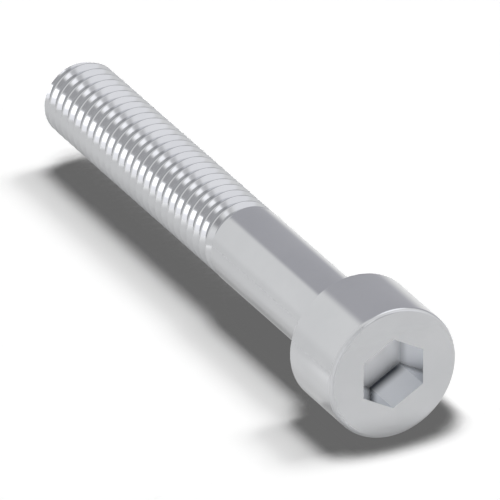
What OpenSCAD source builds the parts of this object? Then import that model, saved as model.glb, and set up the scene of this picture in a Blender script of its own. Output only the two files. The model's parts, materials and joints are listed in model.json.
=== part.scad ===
// Hexagon socket head cap screw with a plain shank under the head and a rolled coarse thread.
// It is one forged and rolled piece. It stands on the flat end of its head at z = 0, point up.
// The screw's axis is the Z axis, and two corners of the socket lie along Y.

/* [Shank] */
// Nominal diameter of the shank and the thread
nominal_d = 5; // [4:0.5:6]
// Length from the bearing face under the head to the end of the point
length = 35; // [30:1:50]
// Radius of the fillet between the bearing face and the shank
neck_fillet = 0.2; // [0.1:0.05:0.3]

/* [Thread] */
// Advance of the thread in one turn
pitch = 0.8; // [0.7:0.05:1]
// Length of the threaded end, point included
thread_length = 22; // [16:1:26]
// Turns over which the groove grows to its full depth beside the plain shank
runout_turns = 1; // [0.5:0.1:2]
// Flat facets that make up one turn
turn_facets = 24; // [16:2:30]

/* [Head] */
// Outer diameter of the head
head_d = 8.5; // [8:0.25:11]
// Height of the head, from the bearing face to the flat end
head_h = 5; // [4.5:0.25:7]
// Radius of the rounded edge round the flat end
head_round = 0.25; // [0.1:0.05:0.4]
// Height of the small edge break at the bearing face
bearing_chamfer = 0.05; // [0.05:0.05:0.2]

/* [Socket] */
// Width of the hexagon socket across its flats
socket_af = 4; // [3:0.5:5]
// Depth of the socket, which has a flat bottom
socket_depth = 2.9; // [2:0.1:3.5]

/* [Hidden] */
$fn = 96;

// The 60 degree metric profile: flat crests an eighth of the pitch wide, and grooves as deep as
// a rolled thread's root
crest_allowance = 0.024;
crest_r = (nominal_d - crest_allowance) / 2;
groove_depth = 0.61343 * pitch;
flank_run = groove_depth * tan(30);
crest_w = pitch / 8;
root_w = pitch - crest_w - 2 * flank_run;

// Heights on the axis, from the flat end of the head up to the point
point_z = head_h + length;
thread_z = point_z - thread_length;
thread_root_r = crest_r - groove_depth;

// The grid of the thread surface has one column of points at each facet edge and four points a
// turn: the two edges of the crest and the two edges of the root. It starts inside the plain
// shank, where it has no groove yet, and runs on past the point, which is cut from it
rise = pitch / turn_facets;
buried_turns = 2;
spare_turns = 3;
turns = ceil(thread_length / pitch) + buried_turns + spare_turns;
foot_z = thread_z - buried_turns * pitch;
top_z = foot_z + (turns + 1) * pitch + rise;
edge_heights = [0, crest_w, crest_w + flank_run, crest_w + flank_run + root_w];
edge_depths = [0, 0, groove_depth, groove_depth];
column_size = 4 * turns + 2;

// Share of the full groove depth at a height: none up to the plain shank's end, and none again
// in the stretch that is cut away past the point
function growth(z) =
    z > point_z + pitch ? 0 : min(1, max(0, (z - thread_z) / (runout_turns * pitch)));

// One point of the thread surface, from its facet edge, turn and place in the profile
function thread_point(s, turn, j) =
    let (
        z = foot_z + (s + 1) * rise + turn * pitch + edge_heights[j],
        r = crest_r - edge_depths[j] * growth(z),
        a = 360 * s / turn_facets
    )
    [r * cos(a), r * sin(a), z];

function rim_point(s, z) =
    let (a = 360 * s / turn_facets)
    [crest_r * cos(a), crest_r * sin(a), z];

// The columns one after another, each from its foot up to its top
thread_points = [
    for (s = [0:turn_facets - 1]) each concat(
        [rim_point(s, foot_z)],
        [for (turn = [0:turns - 1], j = [0:3]) thread_point(s, turn, j)],
        [rim_point(s, top_z)]
    )
];

function at(s, m) = s * column_size + m;

// The faces between two neighbouring columns, and across the step of one turn where the last
// column meets the first
side_faces = [
    for (s = [0:turn_facets - 2], m = [0:column_size - 2]) each [
        [at(s, m), at(s, m + 1), at(s + 1, m + 1)],
        [at(s, m), at(s + 1, m + 1), at(s + 1, m)]
    ]
];
last = turn_facets - 1;
step_faces = [
    for (m = [1:column_size - 7]) each [
        [at(last, m), at(last, m + 1), at(0, m + 5)],
        [at(last, m), at(0, m + 5), at(0, m + 4)]
    ]
];
foot_step = [[at(last, 0), at(last, 1), at(0, 5), at(0, 4), at(0, 3), at(0, 2), at(0, 1), at(0, 0)]];
top_step = [[
    at(last, column_size - 6), at(last, column_size - 5), at(last, column_size - 4),
    at(last, column_size - 3), at(last, column_size - 2), at(last, column_size - 1),
    at(0, column_size - 1), at(0, column_size - 2)
]];
foot_face = [[for (s = [0:last]) at(s, 0)]];
top_face = [[for (s = [last:-1:0]) at(s, column_size - 1)]];

// Threaded bar, from inside the plain shank to past the point
module threaded_bar() {
    polyhedron(
        points = thread_points,
        faces = concat(side_faces, step_faces, foot_step, top_step, foot_face, top_face),
        convexity = 10
    );
}

// Envelope of the threaded end, which tapers at 45 degrees to the root of the thread at the point
module point_envelope() {
    wide_r = crest_r + pitch;
    taper = wide_r - thread_root_r;
    translate([0, 0, thread_z - pitch / 2])
        cylinder(h = thread_length + pitch / 2 - taper, r = wide_r);
    translate([0, 0, point_z - taper])
        cylinder(h = taper, r1 = wide_r, r2 = thread_root_r);
}

module thread() {
    intersection() {
        threaded_bar();
        point_envelope();
    }
}

// Plain shank, rooted a little way into the head, and the fillet at the bearing face
module shank() {
    shank_r = nominal_d / 2;
    root_z = head_h - neck_fillet;
    translate([0, 0, root_z])
        cylinder(h = thread_z - root_z, r = shank_r);
    translate([0, 0, head_h])
        rotate_extrude()
            difference() {
                square([shank_r + neck_fillet, neck_fillet]);
                translate([shank_r + neck_fillet, neck_fillet])
                    circle(r = neck_fillet);
            }
}

// Outline of one half of the head, rounded at the flat end, its edge broken at the bearing face
module head_outline() {
    head_r = head_d / 2;
    square([head_r - head_round, head_round]);
    translate([head_r - head_round, head_round])
        intersection() {
            circle(r = head_round);
            translate([0, -head_round])
                square(head_round);
        }
    translate([0, head_round])
        square([head_r, head_h - head_round - bearing_chamfer]);
    polygon([
        [0, head_h - bearing_chamfer],
        [head_r, head_h - bearing_chamfer],
        [head_r - bearing_chamfer, head_h],
        [0, head_h]
    ]);
}

// Hexagonal prism that cuts the socket, and stands out of the flat end
module socket() {
    over = 1;
    translate([0, 0, -over])
        rotate([0, 0, 30])
            cylinder(h = socket_depth + over, r = socket_af / sqrt(3), $fn = 6);
}

// The whole screw in bright zinc-plated steel
module screw() {
    color([0.76, 0.765, 0.77]) {
        difference() {
            union() {
                rotate_extrude()
                    head_outline();
                shank();
            }
            socket();
        }
        thread();
    }
}

screw();
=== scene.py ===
import json
import math

import bmesh
import bpy
from mathutils import Matrix, Vector


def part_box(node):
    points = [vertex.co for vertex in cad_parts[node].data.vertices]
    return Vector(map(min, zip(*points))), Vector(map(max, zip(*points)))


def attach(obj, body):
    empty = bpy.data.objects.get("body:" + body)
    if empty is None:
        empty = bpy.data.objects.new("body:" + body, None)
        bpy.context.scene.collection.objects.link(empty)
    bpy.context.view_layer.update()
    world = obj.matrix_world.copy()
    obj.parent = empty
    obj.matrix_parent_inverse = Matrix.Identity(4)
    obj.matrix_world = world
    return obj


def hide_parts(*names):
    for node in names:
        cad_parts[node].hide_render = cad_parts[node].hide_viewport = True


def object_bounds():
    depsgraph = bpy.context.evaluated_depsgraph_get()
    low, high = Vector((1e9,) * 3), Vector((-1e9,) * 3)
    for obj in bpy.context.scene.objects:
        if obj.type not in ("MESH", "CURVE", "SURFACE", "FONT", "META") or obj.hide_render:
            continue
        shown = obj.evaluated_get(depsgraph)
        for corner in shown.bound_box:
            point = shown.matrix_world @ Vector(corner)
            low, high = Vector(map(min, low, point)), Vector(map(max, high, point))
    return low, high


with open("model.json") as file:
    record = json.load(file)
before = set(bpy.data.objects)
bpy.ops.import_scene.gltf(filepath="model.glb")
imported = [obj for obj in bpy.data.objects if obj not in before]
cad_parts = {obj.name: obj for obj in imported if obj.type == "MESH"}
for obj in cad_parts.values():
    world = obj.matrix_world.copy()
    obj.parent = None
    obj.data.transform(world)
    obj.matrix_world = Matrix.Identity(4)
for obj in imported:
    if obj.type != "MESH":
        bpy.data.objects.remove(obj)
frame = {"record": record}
cad_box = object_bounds()
mm = 0.001

# Camera
# A long lens stands where the photograph was taken from, so the screw shows almost without
# perspective. It looks up at the screw's flat end from beyond the head, because the screw stands
# on its head here and lies in the photograph.
photo_right = Vector((-1, 0, 0))
photo_up = Vector((0, 1, 0))
along_screw = Vector((0, 0, 1))
view_drop = math.radians(28.23)
view_turn = math.radians(28.35)
view_roll = math.radians(-0.18)
aim = Vector((-0.658, -0.918, 19.085)) * mm
lens = 1560
sensor = 36
photo_width = 29.87 * mm

ahead = math.cos(view_turn) * along_screw + math.sin(view_turn) * photo_right
look = math.cos(view_drop) * ahead - math.sin(view_drop) * photo_up
level_up = math.sin(view_drop) * ahead + math.cos(view_drop) * photo_up
level_right = look.cross(level_up)
camera_right = math.cos(view_roll) * level_right - math.sin(view_roll) * level_up
camera_up = math.sin(view_roll) * level_right + math.cos(view_roll) * level_up
distance = photo_width * lens / sensor

bpy.ops.object.select_all(action="DESELECT")
bpy.ops.object.camera_add()
camera = bpy.context.object
camera.name = "camera"
camera.data.lens = lens
camera.data.sensor_width = sensor
camera.data.clip_start = distance / 10
camera.data.clip_end = distance * 2
turned = Matrix((camera_right, camera_up, -look)).transposed().to_4x4()
camera.matrix_world = Matrix.Translation(aim - look * distance) @ turned
bpy.context.scene.camera = camera
bpy.context.scene.view_settings.view_transform = "Standard"


# Shader sums
# Finishes and the studio are worked out as sums on sockets, so one small class wraps a socket
# and adds the node that each sum needs.
class Wire:
    def __init__(self, tree, socket=None):
        self.tree = tree
        self.socket = socket

    def node(self, kind, settings=None, inputs=None, output=0):
        made = self.tree.nodes.new(kind)
        for name, value in (settings or {}).items():
            setattr(made, name, value)
        for key, value in (inputs or {}).items():
            if isinstance(value, Wire):
                self.tree.links.new(value.socket, made.inputs[key])
            else:
                made.inputs[key].default_value = value
        return Wire(self.tree, made.outputs[output] if made.outputs else None)

    def out(self, name):
        return Wire(self.tree, self.socket.node.outputs[name])

    def math(self, operation, first, second):
        return self.node("ShaderNodeMath", {"operation": operation}, {0: first, 1: second})

    def __pow__(self, exponent):
        return self.math("POWER", self, exponent)

    def __add__(self, other):
        return self.math("ADD", self, other)

    def __radd__(self, other):
        return self.math("ADD", other, self)

    def __sub__(self, other):
        return self.math("SUBTRACT", self, other)

    def __rsub__(self, other):
        return self.math("SUBTRACT", other, self)

    def __mul__(self, other):
        return self.math("MULTIPLY", self, other)

    def __rmul__(self, other):
        return self.math("MULTIPLY", other, self)

    def rise(self, low, high):
        """Goes smoothly from 0 at low to 1 at high."""
        return self.node(
            "ShaderNodeMapRange",
            {"interpolation_type": "SMOOTHSTEP"},
            {"Value": self, "From Min": low, "From Max": high},
        )

    def tint(self, colour_at_0, colour_at_1):
        """Mixes two colours by this value."""
        return self.node(
            "ShaderNodeMix",
            {"data_type": "RGBA"},
            {0: self, 6: colour_at_0, 7: colour_at_1},
            2,
        )


def grey(level, blue=0.0):
    return (level * (1 - blue), level * (1 - blue), level, 1)


def straight_off_metal(path):
    """Is 1 on a ray that the metal mirrors straight to the camera, and 0 on any other."""
    return path.out("Is Glossy Ray") * (1 - path.out("Diffuse Depth").rise(0.4, 0.6))


# Floors
# Two plain white floors. The screw stands on one, and the other is the surface it lies on in the
# photograph. Each shows only from its front, and its colour is darkened as painted contact shade
# where the screw comes close over it. The metal mirrors only a tabletop's worth of the lying one,
# with a painted pool of window light on one corner.
head_r = cad_box[1][0]
shadow_level = 0.133
mirrored_level = 0.5
shaded_level = 0.46
painted_window_level = 0.95
table_half_width = 16
table_half_length = 31


def one_sided_white(name, near):
    """White that shows from the front, with painted contact shade darkened into its colour within
    a distance near of the screw.
    """
    material = bpy.data.materials.new(name)
    material.use_nodes = True
    tree = material.node_tree
    tree.nodes.clear()
    wire = Wire(tree)
    spot = wire.node("ShaderNodeTexCoord", None, None, "Object")
    left = wire.node("ShaderNodeSeparateXYZ", None, {0: spot})
    front = left.out("Y")
    left = left * (1 / mm)
    front = front * (1 / mm)
    across_table = (left * left).rise(table_half_width**2 + 1, table_half_width**2 - 1)
    along_table = (front * front).rise(table_half_length**2 + 2, table_half_length**2 - 2)
    path = wire.node("ShaderNodeLightPath")
    mirrored = straight_off_metal(path)
    seen = path.out("Is Camera Ray")
    clearance = wire.node("ShaderNodeAmbientOcclusion", {"samples": 16}, {"Distance": near}, 1)
    # Painted contact shade: the floor's colour darkens near the screw, but not on the left, where
    # the lamps alone make the shadow dark enough
    painted_contact_shade = (1 - clearance.rise(0.72, 1.0)) * left.rise(5.4, 2.8)
    open_floor = painted_contact_shade.tint(grey(1.0), grey(0.0))
    lit = wire.node(
        "ShaderNodeBsdfDiffuse",
        None,
        {"Color": seen.tint(mirrored.tint(grey(0.0), grey(mirrored_level)), open_floor)},
    )
    # Painted light: in what the metal mirrors, the floor glows brighter towards its front left
    # corner, a painted pool of window light
    painted_window_light = left.rise(7, table_half_width) * front.rise(4, 12)
    painted_window_light = painted_window_light.tint(grey(shaded_level), grey(painted_window_level))
    dim = wire.node(
        "ShaderNodeEmission",
        None,
        {"Color": seen.tint(mirrored.tint(grey(0.0), painted_window_light), grey(shadow_level))},
    )
    glowing = wire.node("ShaderNodeAddShader", None, {0: lit, 1: dim})
    clear = wire.node("ShaderNodeBsdfTransparent")
    behind = wire.node("ShaderNodeNewGeometry").out("Backfacing")
    beside = path.out("Is Glossy Ray") * (1 - across_table * along_table)
    unseen = behind.math("MAXIMUM", behind, beside)
    shown = wire.node("ShaderNodeMixShader", None, {0: unseen, 1: glowing, 2: clear})
    wire.node("ShaderNodeOutputMaterial", None, {"Surface": shown})
    return material


def floor(name, size, place, turn, near, mirrored):
    bpy.ops.mesh.primitive_plane_add(size=size, location=place, rotation=turn)
    made = bpy.context.object
    made.name = name
    made.data.materials.append(one_sided_white(name, near))
    for kind in ("diffuse", "transmission", "shadow"):
        setattr(made, "visible_" + kind, False)
    made.visible_glossy = mirrored
    return made


lying_floor = floor(
    "lying_floor",
    200 * mm,
    (0, -head_r, 20 * mm),
    (math.radians(-90), 0, 0),
    2.6 * mm,
    True,
)
standing_floor = floor(
    "standing_floor",
    400 * mm,
    (0, 0, 0),
    (0, 0, 0),
    0.6 * mm,
    False,
)


# Lamps
# Soft lamps over each floor give the screw its shadow. Each lights only its own floor, and the
# metal takes its light from the room round it.
def lamp(name, floors, upward, spread, strength):
    """Adds a soft distant lamp in the direction upward, so strong that white reads strength."""
    bpy.ops.object.light_add(type="SUN", location=(0, 0, 0))
    made = bpy.context.object
    made.name = name
    facing = floors.matrix_world.to_3x3() @ Vector((0, 0, 1))
    made.data.energy = strength * math.pi / upward.normalized().dot(facing)
    made.data.angle = math.radians(spread)
    made.rotation_mode = "QUATERNION"
    made.rotation_quaternion = upward.to_track_quat("Z", "Y")
    made.visible_glossy = False
    lit = bpy.data.collections.new(name + "_lights")
    lit.objects.link(floors)
    made.light_linking.receiver_collection = lit


def over_lying(across, along):
    """Direction over the lying floor, leaning across the screw and along it by two angles."""
    lean_across = math.tan(math.radians(across)) * photo_right
    lean_along = math.tan(math.radians(along)) * along_screw
    return photo_up + lean_across + lean_along


lamp("lamp_high", lying_floor, over_lying(6.2, 10.0), 17.5, 0.46)
lamp("lamp_side", lying_floor, over_lying(32.5, 5.0), 17.0, 0.25)
lamp("lamp_wide", lying_floor, over_lying(21.0, 6.0), 24.0, 0.17)
lamp("lamp_above", standing_floor, Vector((-0.25, -0.2, 1)), 50, 0.88)


# Room
# What the metal mirrors: a pale room with a grey wall on the right beyond the point, and panels
# and windows behind the camera that the flanks of the thread pick up one after another. The
# camera itself sees plain white, and nothing of the room falls on the floors.
world = bpy.data.worlds.new("room")
bpy.context.scene.world = world
world.use_nodes = True
world.cycles.sampling_method = "NONE"
world.node_tree.nodes.clear()
room = Wire(world.node_tree)
direction = room.node("ShaderNodeTexCoord", None, None, "Generated")
axes = room.node("ShaderNodeSeparateXYZ", None, {0: direction})
right = 0 - axes.out("X")
up = axes.out("Y")
beyond = axes.out("Z")

sky = grey(0.985)
ground = grey(0.9)
wall_grey = grey(0.59, 0.055)
panel_blue = 0.03
light = up.rise(0.1, -0.1).tint(sky, ground)
wall = right.rise(-0.24, -0.1) * up.rise(-0.2, 0.1) * beyond.rise(0.0, 0.2)
light = wall.tint(light, wall_grey)
for at_right, at_beyond, at_up, inner, outer, level in (
    (-0.44, -0.89, -0.035, 0, 16, 1.4),
    (-0.42, -0.88, 0.11, 1, 9, 2.8),
    (-0.22, -0.93, 0.29, 7, 10, 0.54),
    (0.045, -0.902, 0.43, 3, 8, 1.6),
    (0.19, -0.87, 0.455, 3, 7, 0.75),
    (0.58, -0.72, 0.38, 14, 24, 1.2),
    (-0.38, -0.74, 0.56, 12, 18, 0.45),
    (-0.02, -1.0, 0.03, 6, 10, 0.5),
    (0.32, -0.94, 0.08, 6, 11, 0.5),
    (0.4, 0.0, 0.9, 12, 25, 1.6),
):
    centre = Vector((-at_right, at_up, at_beyond)).normalized()
    facing = room.node(
        "ShaderNodeVectorMath",
        {"operation": "DOT_PRODUCT"},
        {0: direction, 1: centre},
        1,
    )
    panel = facing.rise(math.cos(math.radians(outer)), math.cos(math.radians(inner)))
    light = panel.tint(light, grey(level, panel_blue))
path = room.node("ShaderNodeLightPath")
mirrored = straight_off_metal(path).tint(grey(0.0), light)
shown = path.out("Is Camera Ray").tint(mirrored, grey(1.0))
glow = room.node("ShaderNodeBackground", None, {"Color": shown, "Strength": 1.0})
room.node("ShaderNodeOutputWorld", None, {"Surface": glow})


# Blank
# The head and the plain shank are forged from one length of wire. The head's flat end is rounded
# at its rim, and a small fillet carries the shank into the bearing face.
mounts = {mount["name"]: mount for mount in frame["record"]["mounts"]}
point_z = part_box("screw")[1][2]
bearing_z = mounts["bearing_face"]["pos_m"][2]
shank_r = mounts["shank"]["dims"]["r_mm"] * mm
thread_z = point_z - mounts["thread"]["dims"]["length_mm"] * mm
head_round = 0.25 * mm
edge_break = 0.05 * mm
neck_fillet = 0.2 * mm
round_steps = 192


def alone(piece):
    bpy.ops.object.select_all(action="DESELECT")
    piece.select_set(True)
    bpy.context.view_layer.objects.active = piece


def pick(piece, kind, wanted):
    """Selects the edges or faces that are as wanted, by themselves and their middle."""
    shape = bmesh.from_edit_mesh(piece.data)
    bpy.ops.mesh.select_all(action="DESELECT")
    bpy.ops.mesh.select_mode(type=kind)
    for part in {"EDGE": shape.edges, "FACE": shape.faces}[kind]:
        middle = sum((vert.co for vert in part.verts), Vector()) / len(part.verts)
        if wanted(part, middle):
            part.select = True
    shape.select_flush_mode()
    bmesh.update_edit_mesh(piece.data)


def ring(radius, height):
    """Tells whether an edge lies on a level circle round the axis."""
    slack = 0.01 * mm

    def wanted(edge, middle):
        level = all(abs(vert.co.z - height) < slack for vert in edge.verts)
        return level and abs(math.hypot(middle.x, middle.y) - radius) < slack

    return wanted


bpy.ops.mesh.primitive_cylinder_add(
    vertices=round_steps, radius=head_r, depth=bearing_z, location=(0, 0, bearing_z / 2)
)
blank = bpy.context.object
bpy.ops.object.transform_apply(location=True)
bpy.ops.object.mode_set(mode="EDIT")
pick(blank, "FACE", lambda face, middle: face.normal.z > 0.5)
bpy.ops.mesh.inset(thickness=head_r - shank_r)
bpy.ops.mesh.extrude_region_move(TRANSFORM_OT_translate={"value": (0, 0, thread_z - bearing_z)})
for radius, height, size, steps in (
    (shank_r, bearing_z, neck_fillet, 8),
    (head_r, bearing_z, edge_break, 2),
    (head_r, 0, head_round, 10),
):
    pick(blank, "EDGE", ring(radius, height))
    bpy.ops.mesh.bevel(offset=size, segments=steps, profile=0.5, affect="EDGES")
bpy.ops.object.mode_set(mode="OBJECT")

# Thread
# The right-handed M5 thread is rolled into the shank, so its roots are round and the edges of
# its narrow crests are rounded too. The groove grows to full depth in one turn.
pitch = 0.8 * mm
crest_drop = 0.012 * mm
groove_share = 0.61343
root_share = 0.1443
crest_r = shank_r - crest_drop
crest_half = pitch / 16
groove_depth = groove_share * pitch
root_round = root_share * pitch
crest_round = 0.065 * mm
turn_steps = 72
cad_turn_steps = 24
root_steps = 6
crest_steps = 5
buried_turns = 2
spare_turns = 2
flank = math.radians(30)


def profile():
    """Points of one pitch of the thread, as radius and height, from one crest to the next."""
    bend = 90 - math.degrees(flank)
    reach = crest_round * math.tan(math.radians(bend / 2))
    points = []
    for step in range(crest_steps + 1):
        turned = math.radians(bend * step / crest_steps)
        points.append((
            crest_r - crest_round * (1 - math.cos(turned)),
            crest_half - reach + crest_round * math.sin(turned),
        ))
    root_centre = crest_r - groove_depth + root_round
    for step in range(root_steps + 1):
        turned = math.radians(bend * (2 * step / root_steps - 1))
        points.append((
            root_centre - root_round * math.cos(turned),
            pitch / 2 + root_round * math.sin(turned),
        ))
    mirrored = [(radius, pitch - height) for radius, height in points[:crest_steps + 1]]
    return points + mirrored[::-1]


outline = profile()
foot_z = thread_z - buried_turns * pitch + pitch / cad_turn_steps + crest_half
outline.append((outline[0][0], outline[0][1] + pitch))
turns = math.ceil((point_z - foot_z) / pitch) + spare_turns
weld = 0.0005 * mm
thread_low = thread_z - 0.7 * pitch
bpy.ops.object.select_all(action="DESELECT")
bpy.ops.mesh.primitive_plane_add(size=pitch, location=(0, 0, 0))
thread = bpy.context.object
bpy.ops.object.mode_set(mode="EDIT")
bpy.ops.mesh.select_mode(type="VERT")
bpy.ops.mesh.select_all(action="SELECT")
bpy.ops.mesh.merge(type="CENTER")
bpy.ops.transform.translate(value=(outline[0][0], 0, foot_z + outline[0][1]))
for (r_from, z_from), (r_to, z_to) in zip(outline, outline[1:]):
    bpy.ops.mesh.extrude_region_move(
        TRANSFORM_OT_translate={"value": (r_to - r_from, 0, z_to - z_from)}
    )
bpy.ops.object.mode_set(mode="OBJECT")

helix = thread.modifiers.new("helix", "SCREW")
helix.axis = "Z"
helix.angle = math.tau
helix.screw_offset = pitch
helix.iterations = turns
helix.steps = turn_steps
helix.render_steps = turn_steps
helix.use_normal_calculate = True
bpy.ops.object.modifier_apply(modifier=helix.name)

bpy.ops.object.mode_set(mode="EDIT")
bpy.ops.mesh.select_all(action="SELECT")
bpy.ops.mesh.remove_doubles(threshold=weld)
bpy.ops.object.mode_set(mode="OBJECT")
for vert in thread.data.vertices:
    radius = math.hypot(vert.co.x, vert.co.y)
    grown = min(1, max(0, (vert.co.z - thread_z) / pitch))
    scale = (crest_r - (crest_r - radius) * grown) / radius
    vert.co.x *= scale
    vert.co.y *= scale

bpy.ops.object.mode_set(mode="EDIT")
for height, keep_above in ((thread_low, True), (point_z, False)):
    bpy.ops.mesh.select_all(action="SELECT")
    bpy.ops.mesh.bisect(
        plane_co=(0, 0, height),
        plane_no=(0, 0, 1),
        use_fill=True,
        clear_inner=keep_above,
        clear_outer=not keep_above,
        threshold=1e-7,
    )
bpy.ops.mesh.select_all(action="SELECT")
bpy.ops.mesh.normals_make_consistent(inside=False)
bpy.ops.object.mode_set(mode="OBJECT")


# Point
# The end of the threaded blank is chamfered at 45 degrees down to the root of the thread, which
# lets a nut start on it.
def combine(piece, operation, other):
    alone(piece)
    joint = piece.modifiers.new(operation.lower(), "BOOLEAN")
    joint.operation = operation
    joint.object = other
    joint.solver = "EXACT"
    bpy.ops.object.modifier_apply(modifier=joint.name)
    bpy.data.objects.remove(other)


margin = 0.3 * mm
envelope_r = crest_r + margin
point_r = crest_r - groove_depth
envelope_low = thread_z - 2 * pitch
bpy.ops.object.select_all(action="DESELECT")
bpy.ops.mesh.primitive_cylinder_add(
    vertices=round_steps,
    radius=envelope_r,
    depth=point_z - envelope_low,
    location=(0, 0, (point_z + envelope_low) / 2),
)
envelope = bpy.context.object
bpy.ops.object.transform_apply(location=True)
bpy.ops.object.mode_set(mode="EDIT")
pick(envelope, "EDGE", ring(envelope_r, point_z))
bpy.ops.mesh.bevel(offset=envelope_r - point_r, segments=1, affect="EDGES")
bpy.ops.object.mode_set(mode="OBJECT")
combine(thread, "INTERSECT", envelope)
combine(blank, "UNION", thread)

# Socket
# The hexagon socket is punched into the head when it is forged. It has a flat bottom, and two of
# its corners lie on the Y axis.
socket_flats = 4 * mm
socket_depth = 2.9 * mm
mouth_over = 0.5 * mm
bpy.ops.object.select_all(action="DESELECT")
bpy.ops.mesh.primitive_cylinder_add(
    vertices=6,
    radius=socket_flats / math.sqrt(3),
    depth=socket_depth + mouth_over,
    location=(0, 0, (socket_depth - mouth_over) / 2),
)
punch = bpy.context.object
bpy.ops.object.transform_apply(location=True)
combine(blank, "DIFFERENCE", punch)


# Finish
# The steel is zinc plated and passivated, so it is smooth, bright and faintly blue, and a little
# cloudy. It has faint drawn lines, a duller rim and darker roots of the thread. The punch has
# burnished the socket's walls, and painted shade darkens them where they meet its dull bottom.
zinc_low = (0.565, 0.573, 0.587, 1)
zinc_high = (0.592, 0.599, 0.612, 1)
root_zinc = (0.51, 0.518, 0.532, 1)
wall_zinc = (0.765, 0.785, 0.815, 1)
bottom_zinc = (0.95, 0.95, 0.95, 1)
socket_corner_painted_shade = (0.03, 0.035, 0.045, 1)
line_stretch = 0.02


def plated_steel():
    """Zinc plating, with its parts told by their place on the screw in millimetres."""
    material = bpy.data.materials.new("zinc_plated_steel")
    material.use_nodes = True
    tree = material.node_tree
    tree.nodes.clear()
    wire = Wire(tree)
    place = wire.node("ShaderNodeTexCoord", None, None, "Object")
    spot = wire.node("ShaderNodeSeparateXYZ", None, {0: place})
    height = spot.out("Z") * (1 / mm)
    out_x = spot.out("X") * (1 / mm)
    out_y = spot.out("Y") * (1 / mm)
    radius = (out_x * out_x + out_y * out_y) ** 0.5
    inside = height.rise(0.0, 0.02) * (1 - radius.rise(2.4, 2.45)) * (1 - height.rise(3.0, 3.1))
    deep = socket_depth / mm
    bottom = inside * height.rise(deep - 0.0015, deep - 0.0005)
    # Painted shade: the socket's walls darken to nearly black towards its bottom, more on the -Y
    # side
    corner = inside * height.rise(1.8, 2.85) * (1 - bottom) * (0.4 + 0.6 * out_y.rise(-0.9, -1.4))
    cloud = wire.node(
        "ShaderNodeTexNoise",
        None,
        {"Vector": place, "Scale": 260.0, "Detail": 4.0, "Roughness": 0.55},
    )
    plated = cloud.rise(0.3, 0.7).tint(zinc_low, zinc_high)
    root = height.rise(thread_z / mm, (thread_z + pitch) / mm) * (1 - radius.rise(2.03, 2.25))
    plated = root.tint(plated, root_zinc)
    burnished = inside.tint(plated, wall_zinc)
    burnished = bottom.tint(burnished, bottom_zinc)
    colour = corner.tint(burnished, socket_corner_painted_shade)
    rim = height.rise(0.28, 0.2) * radius.rise(3.9, 4.05)
    dull_rim = rim * (0.09 + 0.25 * out_x.rise(1.6, 3.0))
    along_wire = wire.node(
        "ShaderNodeMapping",
        None,
        {"Vector": place, "Scale": (1, 1, line_stretch)},
    )
    drawn = wire.node(
        "ShaderNodeTexNoise",
        None,
        {"Vector": along_wire, "Scale": 5200.0, "Detail": 2.0},
    )
    roughness = 0.065 + 0.4 * bottom + dull_rim + 0.05 * cloud + 0.03 * drawn
    metal = wire.node(
        "ShaderNodeBsdfPrincipled",
        None,
        {"Base Color": colour, "Metallic": 1.0, "Roughness": roughness},
    )
    wire.node("ShaderNodeOutputMaterial", None, {"Surface": metal})
    return material


blank.name = "machine_screw"
blank.data.name = "machine_screw"
blank.data.materials.clear()
blank.data.materials.append(plated_steel())
alone(blank)
bpy.ops.object.shade_smooth_by_angle(angle=math.radians(30))
blank.scale = (1 / mm, 1 / mm, 1 / mm)
bpy.ops.object.transform_apply(scale=True)
evened = blank.modifiers.new("even_shading", "WEIGHTED_NORMAL")
evened.keep_sharp = True
evened.thresh = 0
bpy.ops.object.modifier_apply(modifier=evened.name)
blank.scale = (mm, mm, mm)
bpy.ops.object.transform_apply(scale=True)
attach(blank, "root")
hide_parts("screw")
